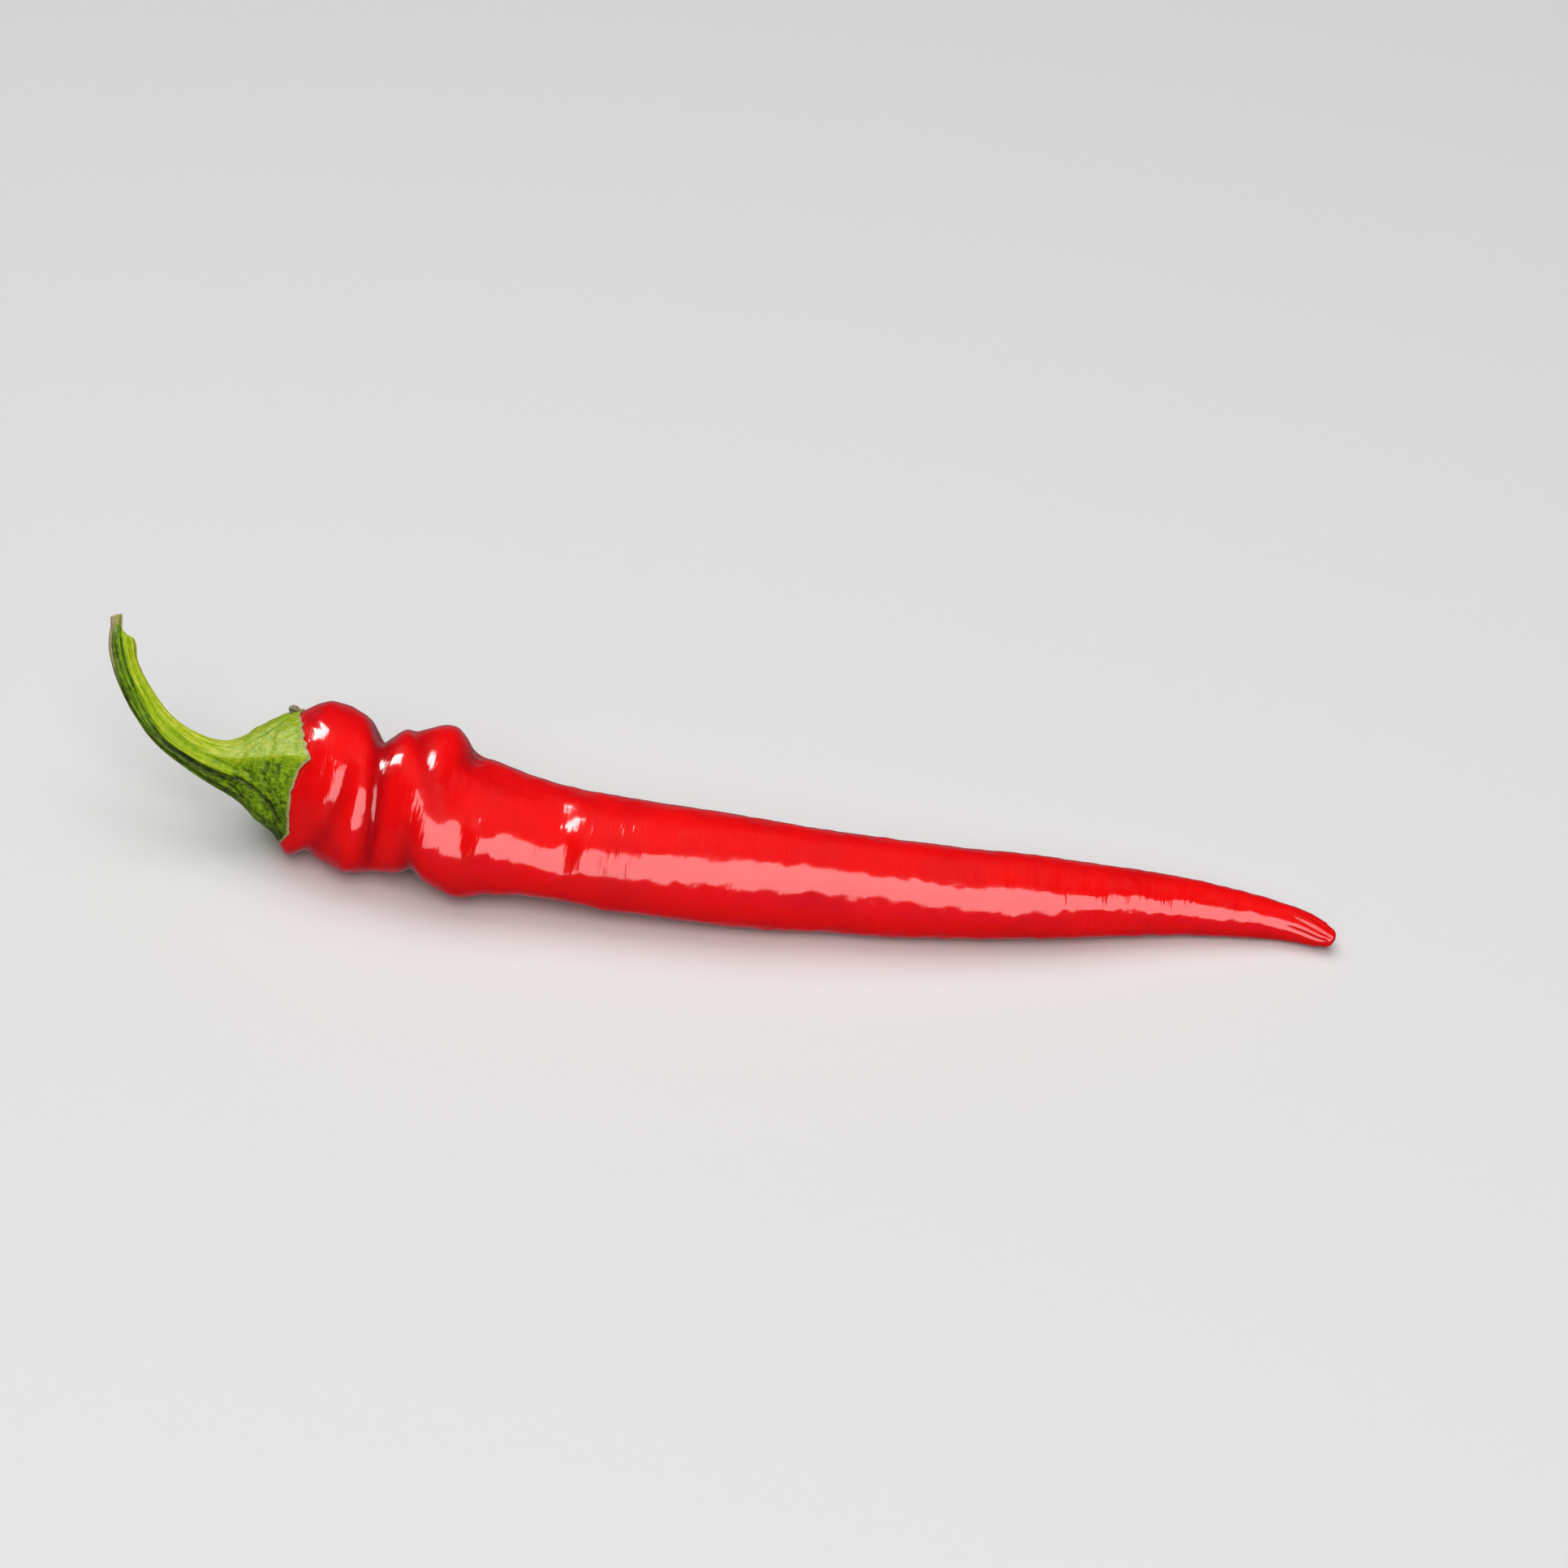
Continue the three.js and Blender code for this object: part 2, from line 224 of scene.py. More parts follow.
def smooth_path(points, steps):
    """Points, directions and running length of a smooth curve through the given points."""
    points = np.array(points, float)
    ends = [2 * points[0] - points[1], *points, 2 * points[-1] - points[-2]]
    t = np.linspace(0, 1, steps, endpoint=False)[:, None]
    runs = []
    for p0, p1, p2, p3 in zip(ends, ends[1:], ends[2:], ends[3:]):
        a, b, c = (np.sqrt(np.linalg.norm(q - p)) for p, q in ((p0, p1), (p1, p2), (p2, p3)))
        leave = b * ((p1 - p0) / a - (p2 - p0) / (a + b) + (p2 - p1) / b)
        arrive = b * ((p2 - p1) / b - (p3 - p1) / (b + c) + (p3 - p2) / c)
        runs.append(cubic(p1, p2, leave, arrive, t))
    path = np.vstack([*runs, points[-1:]])
    lengths = np.concatenate([[0], np.cumsum(np.linalg.norm(np.diff(path, axis=0), axis=1))])
    directions = np.gradient(path, lengths, axis=0)
    return path, directions / np.linalg.norm(directions, axis=1)[:, None], lengths


def smooth_profile(points, steps=40):
    """A smooth curve through a profile's points, as stations and radii."""
    points = np.array(points, float)
    ends = [points[0], *points, points[-1]]
    t = np.linspace(0, 1, steps, endpoint=False)[:, None]
    runs = []
    for p0, p1, p2, p3 in zip(ends, ends[1:], ends[2:], ends[3:]):
        leave, arrive = (p2 - p0) / 2, (p3 - p1) / 2
        runs.append(cubic(p1, p2, leave, arrive, t))
    curve = np.vstack([*runs, points[-1:]])
    return curve[:, 0], np.maximum(curve[:, 1], 0)


def even_rows(stations, radii, count):
    """Rows spread evenly along a profile's own length."""
    lengths = np.concatenate([[0], np.cumsum(np.hypot(np.diff(stations), np.diff(radii)))])
    at = np.linspace(0, lengths[-1], count)
    return np.interp(at, lengths, stations), np.interp(at, lengths, radii)


SPINE_STEPS = 60
spine_points, spine_directions, spine_lengths = smooth_path([*STALK_SPINE, RIM_POINT, *FRUIT_SPINE], SPINE_STEPS)
rim_length = spine_lengths[SPINE_STEPS * len(STALK_SPINE)]
fruit_curve = smooth_profile(FRUIT_PROFILE)
stalk_curve = smooth_profile(STALK_PROFILE)


def place(station, radius, side):
    """Points of the pepper, in mm, at stations, distances from the spine and sides."""
    station, radius, side = np.broadcast_arrays(station, radius, side)
    length = np.clip(rim_length + station, 0, spine_lengths[-1])
    centre, along = (
        np.stack([np.interp(length, spine_lengths, values[:, axis]) for axis in range(3)], axis=-1)
        for values in (spine_points, spine_directions)
    )
    up = np.cross(FACING, along)
    up /= np.linalg.norm(up, axis=-1)[..., None]
    angle = np.radians(side)
    return SETTLED + centre + FACING * (radius * np.cos(angle))[..., None] + up * (radius * np.sin(angle))[..., None]


# ---------------------------------------------------------------- shape of the fruit
def plain_fruit(station):
    return np.interp(station, *fruit_curve)


def groove(station, side, width, chain, radius=SHOULDER_RADIUS):
    """Depth of a groove that runs along a chain of (station, side, depth) points."""
    mm_per_degree = np.radians(radius)
    deepest = np.zeros(np.broadcast(station, side).shape)
    for (s0, side0, depth0), (s1, side1, depth1) in zip(chain, chain[1:]):
        run = np.array([s1 - s0, turn(side1, side0) * mm_per_degree])
        here = station - s0, turn(side, side0) * mm_per_degree
        share = np.clip((here[0] * run[0] + here[1] * run[1]) / (run @ run), 0, 1)
        away = np.hypot(here[0] - share * run[0], here[1] - share * run[1])
        deepest = np.maximum(deepest, (depth0 + share * (depth1 - depth0)) * bell(away / width))
    return deepest


def relief(station, side):
    """How far the skin stands out from the plain round fruit, in mm."""
    rise = sum(
        height * bell((station - at) / length) * bell(turn(side, towards) / width)
        for at, towards, height, length, width in SWELLINGS
    )
    _, swells, hangs = (np.interp(station, [row[0] for row in SECTION], [row[i] for row in SECTION]) for i in range(3))
    rise = rise - swells * np.sin(np.radians(2 * side)) - hangs * np.sin(np.radians(side))
    return ease(station, DOME_TOP, 1) * (rise - sum(groove(station, side, *fold) for fold in FOLDS))


# ---------------------------------------------------------------- meshes
def straightened(station, side, radius):
    """The place each point would have if the pepper were straight and round, in mm: patterns are drawn in it."""
    angle = np.radians(side)
    return np.stack(np.broadcast_arrays(radius * np.cos(angle), radius * np.sin(angle), station), axis=-1)


def closed_body(name, points, attributes):
    """A mesh object from rows of points round a path, closed by a point at each end. Its faces point outwards."""
    rows, sides = points.shape[:2]
    count = (rows - 2) * sides
    here = 1 + np.arange(count - sides).reshape(rows - 3, sides)
    beside = np.roll(here, -1, axis=1)
    quads = np.stack([here, here + sides, beside + sides, beside], axis=-1).reshape(-1, 4)
    first, last = here[0], here[-1] + sides
    caps = [(0, a, b) for a, b in zip(first, np.roll(first, -1))]
    caps += [(count + 1, b, a) for a, b in zip(last, np.roll(last, -1))]
    flatten = lambda grid: np.concatenate([grid[:1, 0], grid[1:-1].reshape(-1, *grid.shape[2:]), grid[-1:, 0]])
    mesh = bpy.data.meshes.new(name)
    mesh.from_pydata(flatten(points) * MM, [], [*map(tuple, quads), *caps])
    for key, grid in attributes.items():
        vector = grid.ndim == 3
        layer = mesh.attributes.new(key, "FLOAT_VECTOR" if vector else "FLOAT", "POINT")
        layer.data.foreach_set("vector" if vector else "value", flatten(grid).astype(np.float32).ravel())
    mesh.shade_smooth()
    body = bpy.data.objects.new(name, mesh)
    bpy.context.collection.objects.link(body)
    return body


# ---------------------------------------------------------------- nodes
def linear(hex_colour):
    """A hex colour as linear light, with full opacity."""
    channels = [int(hex_colour[i : i + 2], 16) / 255 for i in (1, 3, 5)]
    return (*(c / 12.92 if c <= 0.04045 else ((c + 0.055) / 1.055) ** 2.4 for c in channels), 1)


def add_node(tree, kind, inputs=None, **settings):
    """A new node with its settings. Each input is a value, or the socket that it is linked from."""
    node = tree.nodes.new(kind)
    for name, value in settings.items():
        setattr(node, name, value)
    for name, value in (inputs or {}).items():
        if isinstance(value, bpy.types.NodeSocket):
            tree.links.new(value, node.inputs[name])
        else:
            node.inputs[name].default_value = value
    return node


def new_material(name):
    material = bpy.data.materials.new(name)
    material.use_nodes = True
    material.node_tree.nodes.clear()
    return material, material.node_tree


def new_shaping(name, values):
    """An empty Geometry Nodes tree with a mesh in and out, and the named values and a material as its inputs."""
    tree = bpy.data.node_groups.new(name, "GeometryNodeTree")
    tree.is_modifier = True
    tree.interface.new_socket("Geometry", in_out="OUTPUT", socket_type="NodeSocketGeometry")
    tree.interface.new_socket("Geometry", in_out="INPUT", socket_type="NodeSocketGeometry")
    for label, value in values.items():
        tree.interface.new_socket(label, in_out="INPUT", socket_type="NodeSocketFloat").default_value = value
    tree.interface.new_socket("Material", in_out="INPUT", socket_type="NodeSocketMaterial")
    return tree


def sink(tree, geometry, depth):
    """The mesh with each point moved against its normal, by a depth in mm."""
    normal = add_node(tree, "GeometryNodeInputNormal").outputs["Normal"]
    inwards = add_node(tree, "ShaderNodeMath", {0: depth, 1: -MM}, operation="MULTIPLY").outputs[0]
    offset = add_node(tree, "ShaderNodeVectorMath", {0: normal, "Scale": inwards}, operation="SCALE").outputs[0]
    return add_node(tree, "GeometryNodeSetPosition", {"Geometry": geometry, "Offset": offset}).outputs["Geometry"]


def finish_shaping(tree, geometry, material):
    """Ends a Geometry Nodes tree: everything real, and in its material."""
    real = add_node(tree, "GeometryNodeRealizeInstances", {"Geometry": geometry})
    dressed = add_node(tree, "GeometryNodeSetMaterial", {"Geometry": real.outputs["Geometry"], "Material": material})
    add_node(tree, "NodeGroupOutput", {"Geometry": dressed.outputs["Geometry"]})


def apply_shaping(piece, tree, values):
    """Runs a Geometry Nodes tree on a piece and keeps the result as its plain mesh."""
    modifier = piece.modifiers.new(tree.name, "NODES")
    modifier.node_group = tree
    for item in tree.interface.items_tree:
        if item.in_out == "INPUT" and item.name in values:
            modifier[item.identifier] = values[item.name]
    graph = bpy.context.evaluated_depsgraph_get()
    shaped = bpy.data.meshes.new_from_object(piece.evaluated_get(graph), preserve_all_data_layers=True, depsgraph=graph)
    piece.modifiers.clear()
    piece.data = shaped
    shaped.name = piece.name


# ---------------------------------------------------------------- fruit
FRUIT_ROWS, FRUIT_SIDES = 430, 192
# The wall is taut and smooth over the top, just behind the shoulder: its place, and how far it reaches.
TAUT_STATION, TAUT_SIDE, TAUT_LENGTH, TAUT_WIDTH = 47, 26, 13, 30
WALL_RIPPLES = {
    "Dent Height": 0.3,
    "Dent Spacing": 8.0,
    "Ripple Height": 0.38,
    "Ripple Length": 2.3,
    "Ripple Round": 3.0,
    "Seed": 3.0,
}  # heights and lengths in mm


def make_skin():
    """Ripe chilli skin: a thin clear waxy cuticle over deep red flesh. It is as glossy as a wet berry,
    and its highlights are combed by fine ripples that run round the fruit."""
    skin, tree = new_material("ripe_chilli_skin")
    straight = add_node(tree, "ShaderNodeAttribute", attribute_name="straight").outputs["Vector"]
    painted_fold_shade = add_node(tree, "ShaderNodeAttribute", attribute_name="painted_fold_shade").outputs["Fac"]

    # Ripples of the cuticle, about 0.6 mm along the fruit and 4 mm round it.
    ripple_place = add_node(tree, "ShaderNodeMapping", {"Vector": straight, "Scale": (0.25, 0.25, 1.6)})
    ripples = add_node(
        tree, "ShaderNodeTexNoise", {"Vector": ripple_place.outputs["Vector"], "Scale": 1.0, "Detail": 2.0}
    )
    # Skin cells show as a grain of about 0.1 mm; drawn at 0.3 mm so that it shows.
    grain = add_node(tree, "ShaderNodeTexNoise", {"Vector": straight, "Scale": 3.2, "Detail": 1.0})
    rippled = add_node(
        tree, "ShaderNodeBump", {"Height": ripples.outputs["Fac"], "Strength": 1.0, "Distance": 0.075 * MM}, invert=True
    ).outputs["Normal"]
    grained = add_node(
        tree,
        "ShaderNodeBump",
        {"Height": grain.outputs["Fac"], "Strength": 1.0, "Distance": 0.006 * MM, "Normal": rippled},
        invert=True,
    ).outputs["Normal"]

    # The red is a little deeper in soft patches of about 8 mm, and the folds are painted a darker red as painted shade.
    patches = add_node(tree, "ShaderNodeTexNoise", {"Vector": straight, "Scale": 0.12, "Detail": 3.0})
    patch_share = add_node(
        tree, "ShaderNodeMapRange", {"Value": patches.outputs["Fac"], "From Min": 0.38, "From Max": 0.66}
    ).outputs["Result"]
    red = add_node(
        tree, "ShaderNodeMix", {0: patch_share, 6: linear("#EC0A08"), 7: linear("#DC0607")}, data_type="RGBA"
    ).outputs[2]
    red_with_painted_fold_shade = add_node(tree, "ShaderNodeMix", {0: painted_fold_shade, 6: red, 7: linear("#B00408")}, data_type="RGBA").outputs[2]
    # The wax is a little uneven too.
    dullness = add_node(
        tree,
        "ShaderNodeMapRange",
        {"Value": patches.outputs["Fac"], "From Min": 0.3, "From Max": 0.7, "To Min": 0.12, "To Max": 0.18},
    ).outputs["Result"]
    shader = add_node(
        tree,
        "ShaderNodeBsdfPrincipled",
        {
            "Base Color": red_with_painted_fold_shade,
            "Roughness": dullness,
            "IOR": 1.45,
            "Coat Weight": 0.3,
            "Coat Roughness": 0.08,
            "Subsurface Weight": 0.08,
            "Subsurface Radius": (1.0, 0.12, 0.06),
            "Subsurface Scale": 1.2 * MM,
            "Normal": grained,
            "Coat Normal": grained,
        },
    )
    add_node(tree, "ShaderNodeOutputMaterial", {"Surface": shader.outputs["BSDF"]})
    return skin


def make_ripple_tree():
    """Uneven growth of the fruit's wall: soft dents, and ripples that run round the fruit."""
    tree = new_shaping("fruit_wall_ripples", WALL_RIPPLES)
    given = add_node(tree, "NodeGroupInput").outputs
    straight = add_node(
        tree, "GeometryNodeInputNamedAttribute", {"Name": "straight"}, data_type="FLOAT_VECTOR"
    ).outputs["Attribute"]
    free = add_node(tree, "GeometryNodeInputNamedAttribute", {"Name": "free"}, data_type="FLOAT").outputs["Attribute"]

    dent_scale = add_node(tree, "ShaderNodeMath", {0: 1.0, 1: given["Dent Spacing"]}, operation="DIVIDE").outputs[0]
    dents = add_node(
        tree,
        "ShaderNodeTexNoise",
        {"Vector": straight, "W": given["Seed"], "Scale": dent_scale, "Detail": 1.0},
        noise_dimensions="4D",
    ).outputs[0]
    stretch = add_node(
        tree,
        "ShaderNodeCombineXYZ",
        {"X": given["Ripple Round"], "Y": given["Ripple Round"], "Z": given["Ripple Length"]},
    ).outputs["Vector"]
    ripple_place = add_node(tree, "ShaderNodeVectorMath", {0: straight, 1: stretch}, operation="DIVIDE").outputs[0]
    ripples = add_node(
        tree,
        "ShaderNodeTexNoise",
        {"Vector": ripple_place, "W": given["Seed"], "Scale": 1.0, "Detail": 1.5},
        noise_dimensions="4D",
    ).outputs[0]
    dent_level = add_node(tree, "ShaderNodeMath", {0: dents, 1: 0.5}, operation="SUBTRACT").outputs[0]
    ripple_level = add_node(tree, "ShaderNodeMath", {0: ripples, 1: 0.5}, operation="SUBTRACT").outputs[0]
    dent_depth = add_node(
        tree, "ShaderNodeMath", {0: dent_level, 1: given["Dent Height"]}, operation="MULTIPLY"
    ).outputs[0]
    depth = add_node(
        tree, "ShaderNodeMath", {0: ripple_level, 1: given["Ripple Height"], 2: dent_depth}, operation="MULTIPLY_ADD"
    ).outputs[0]
    free_depth = add_node(tree, "ShaderNodeMath", {0: depth, 1: free}, operation="MULTIPLY").outputs[0]
    finish_shaping(tree, sink(tree, given["Geometry"], free_depth), given["Material"])
    return tree


def make_fruit():
    stations, radii = even_rows(*fruit_curve, FRUIT_ROWS)
    station = stations[:, None]
    side = np.arange(FRUIT_SIDES)[None, :] * 360 / FRUIT_SIDES
    radius = radii[:, None] + relief(station, side)
    radius[[0, -1]] = 0
    points = place(station, radius, side)
    points[..., 2] = np.maximum(points[..., 2], 0)
    # Painted shade: the depth of the folds, which the skin turns into a darker red.
    painted_fold_shade = np.clip(sum(groove(station, side, *fold) for fold in FOLDS), 0, 1)
    calm = 1 - 0.75 * bell((station - TAUT_STATION) / TAUT_LENGTH) * bell(turn(side, TAUT_SIDE) / TAUT_WIDTH)
    fruit = closed_body(
        "pepper_fruit",
        points,
        {
            "straight": straightened(station, side, radii[:, None]),
            "painted_fold_shade": painted_fold_shade,
            "free": ease(points[..., 2], 0.1, 1.2) * calm,
        },
    )
    apply_shaping(fruit, make_ripple_tree(), {**WALL_RIPPLES, "Material": make_skin()})
    return fruit


# ---------------------------------------------------------------- stalk and calyx
STALK_SIDES = 240
STEM_ROWS, CALYX_ROWS, BACK_ROWS, CAP_ROWS, DOME_ROWS = 190, 44, 12, 7, 9
NUB_SIDE, NUB_OFFSET, NUB_RADIUS = -92, 0.62, 0.82
STALK_RIBS = {
    "Rib Count": 24.0,
    "Rib Height": 0.035,
    "Rib Wander": 1.4,
    "Wrinkle Height": 0.55,
    "Wrinkle Spacing": 1.5,
    "Seed": 5.0,
}  # heights and spacing in mm


def waver(side, seed, waves, size):
    """Small unevenness round the pepper: a sum of seeded waves."""
    rng = np.random.default_rng(seed)
    return sum(
        size * rng.normal() / np.sqrt(wave) * np.cos(wave * np.radians(side) + rng.uniform(0, 6.28)) for wave in waves
    )


def rim_at(side):
    sides, stations = np.array(sorted(CALYX_RIM)).T
    return np.interp(side, sides, stations, period=360) + waver(side, 4, range(14, 60), 0.085)


def keels_at(side):
    return sum(height * np.exp(-np.abs(turn(side, at)) / KEEL_WIDTH) for at, height in KEELS)


def make_stalk_tissue():
    """Fresh green stalk tissue: a satin skin over stringy fibres, with painted highlights where the ridges catch the
    light and painted shade in the furrows and below, drying to straw at its edges."""
    green, tree = new_material("green_stalk_tissue")
    straight = add_node(tree, "ShaderNodeAttribute", attribute_name="straight").outputs["Vector"]
    tone_with_painted_light = add_node(tree, "ShaderNodeAttribute", attribute_name="tone_with_painted_light").outputs["Fac"]
    dried = add_node(tree, "ShaderNodeAttribute", attribute_name="dried").outputs["Fac"]

    # Fibres about 0.25 mm apart and 5 mm long, and a mottle of about 1 mm.
    fibre_place = add_node(tree, "ShaderNodeMapping", {"Vector": straight, "Scale": (2.6, 2.6, 0.2)})
    fibres = add_node(
        tree, "ShaderNodeTexNoise", {"Vector": fibre_place.outputs["Vector"], "Scale": 1.0, "Detail": 3.0}
    ).outputs["Fac"]
    mottle = add_node(
        tree, "ShaderNodeTexNoise", {"Vector": straight, "Scale": 1.1, "Detail": 5.0, "Roughness": 0.65}
    ).outputs["Fac"]
    fibre_level = add_node(tree, "ShaderNodeMath", {0: fibres, 1: 0.5}, operation="SUBTRACT").outputs[0]
    mottle_level = add_node(tree, "ShaderNodeMath", {0: mottle, 1: 0.5}, operation="SUBTRACT").outputs[0]
    # The fibres and the mottle are laid over the tone, which carries painted light and shade.
    fibres_over_painted_light = add_node(tree, "ShaderNodeMath", {0: fibre_level, 1: 0.85, 2: tone_with_painted_light}, operation="MULTIPLY_ADD").outputs[0]
    mottle_over_painted_light = add_node(
        tree, "ShaderNodeMath", {0: mottle_level, 1: 0.75, 2: fibres_over_painted_light}, operation="MULTIPLY_ADD"
    ).outputs[0]
    greens = add_node(tree, "ShaderNodeValToRGB", {"Fac": mottle_over_painted_light})
    ramp = greens.color_ramp.elements
    ramp[0].color = linear("#141E04")
    ramp[1].color = linear("#BBC23C")
    for place_on_ramp, hex_colour in ((0.2, "#384A07"), (0.4, "#5C7D06"), (0.6, "#84A308"), (0.8, "#9CB012")):
        ramp.new(place_on_ramp).color = linear(hex_colour)
    straw = add_node(
        tree, "ShaderNodeMix", {0: mottle, 6: linear("#4E4620"), 7: linear("#D2C38A")}, data_type="RGBA"
    ).outputs[2]
    colour = add_node(
        tree, "ShaderNodeMix", {0: dried, 6: greens.outputs["Color"], 7: straw}, data_type="RGBA"
    ).outputs[2]
    stringy = add_node(
        tree, "ShaderNodeBump", {"Height": fibres, "Strength": 1.0, "Distance": 0.12 * MM}, invert=True
    ).outputs["Normal"]
    # Cells of the surface, about 0.1 mm; drawn at 0.2 mm so that they show.
    grain = add_node(tree, "ShaderNodeTexNoise", {"Vector": straight, "Scale": 5.0, "Detail": 2.0})
    grainy = add_node(
        tree,
        "ShaderNodeBump",
        {"Height": grain.outputs["Fac"], "Strength": 1.0, "Distance": 0.07 * MM, "Normal": stringy},
        invert=True,
    ).outputs["Normal"]
    shader = add_node(
        tree,
        "ShaderNodeBsdfPrincipled",
        {
            "Base Color": colour,
            "Roughness": 0.34,
            "Specular IOR Level": 0.16,
            "Subsurface Weight": 0.05,
            "Subsurface Radius": (0.8, 1.0, 0.15),
            "Subsurface Scale": 0.4 * MM,
            "Normal": grainy,
        },
    )
    add_node(tree, "ShaderNodeOutputMaterial", {"Surface": shader.outputs["BSDF"]})
    return green


def make_dry_tissue():
    """Dead plant tissue: brown and straw-coloured, matt, and finely fibrous."""
    dry, tree = new_material("dried_sepal")
    on_piece = add_node(tree, "ShaderNodeTexCoord").outputs["Object"]
    fibre_place = add_node(tree, "ShaderNodeMapping", {"Vector": on_piece, "Scale": (6000.0, 1200.0, 1200.0)})
    fibres = add_node(
        tree, "ShaderNodeTexNoise", {"Vector": fibre_place.outputs["Vector"], "Scale": 1.0, "Detail": 3.0}
    ).outputs["Fac"]
    brown = add_node(
        tree, "ShaderNodeMix", {0: fibres, 6: linear("#2E2814"), 7: linear("#A8996A")}, data_type="RGBA"
    ).outputs[2]
    fibrous = add_node(
        tree, "ShaderNodeBump", {"Height": fibres, "Strength": 1.0, "Distance": 0.08 * MM}, invert=True
    ).outputs["Normal"]
    shader = add_node(tree, "ShaderNodeBsdfPrincipled", {"Base Color": brown, "Roughness": 0.7, "Normal": fibrous})
    add_node(tree, "ShaderNodeOutputMaterial", {"Surface": shader.outputs["BSDF"]})
    return dry


def make_rib_tree():
    """Ribs of the stalk: ridges that run its whole length, wander a little, and fan out over the calyx."""
    tree = new_shaping("stalk_ribs", STALK_RIBS)
    given = add_node(tree, "NodeGroupInput").outputs
    straight, angle, ribbed, wrinkled = (
        add_node(tree, "GeometryNodeInputNamedAttribute", {"Name": name}, data_type=kind).outputs["Attribute"]
        for name, kind in (("straight", "FLOAT_VECTOR"), ("angle", "FLOAT"), ("ribbed", "FLOAT"), ("wrinkled", "FLOAT"))
    )

    drift_place = add_node(
        tree, "ShaderNodeVectorMath", {0: straight, 1: (0.45, 0.45, 0.09)}, operation="MULTIPLY"
    ).outputs[0]
    drift = add_node(
        tree,
        "ShaderNodeTexNoise",
        {"Vector": drift_place, "W": given["Seed"], "Scale": 1.0, "Detail": 1.0},
        noise_dimensions="4D",
    ).outputs[0]
    wander = add_node(tree, "ShaderNodeMath", {0: drift, 1: given["Rib Wander"]}, operation="MULTIPLY").outputs[0]
    turned = add_node(tree, "ShaderNodeMath", {0: angle, 1: given["Rib Count"]}, operation="MULTIPLY").outputs[0]
    phase = add_node(
        tree, "ShaderNodeMath", {0: wander, 1: 2 * np.pi, 2: turned}, operation="MULTIPLY_ADD"
    ).outputs[0]
    wave = add_node(tree, "ShaderNodeMath", {0: phase}, operation="SINE").outputs[0]
    rib_depth = add_node(tree, "ShaderNodeMath", {0: wave, 1: given["Rib Height"]}, operation="MULTIPLY").outputs[0]
    rib_part = add_node(tree, "ShaderNodeMath", {0: rib_depth, 1: ribbed}, operation="MULTIPLY").outputs[0]

    wrinkle_scale = add_node(
        tree, "ShaderNodeMath", {0: 1.0, 1: given["Wrinkle Spacing"]}, operation="DIVIDE"
    ).outputs[0]
    wrinkles = add_node(
        tree,
        "ShaderNodeTexNoise",
        {"Vector": straight, "W": given["Seed"], "Scale": wrinkle_scale, "Detail": 2.0},
        noise_dimensions="4D",
    ).outputs[0]
    wrinkle_level = add_node(tree, "ShaderNodeMath", {0: wrinkles, 1: 0.5}, operation="SUBTRACT").outputs[0]
    wrinkle_depth = add_node(
        tree, "ShaderNodeMath", {0: wrinkle_level, 1: given["Wrinkle Height"]}, operation="MULTIPLY"
    ).outputs[0]
    depth = add_node(
        tree, "ShaderNodeMath", {0: wrinkle_depth, 1: wrinkled, 2: rib_part}, operation="MULTIPLY_ADD"
    ).outputs[0]
    finish_shaping(tree, sink(tree, given["Geometry"], depth), given["Material"])
    return tree


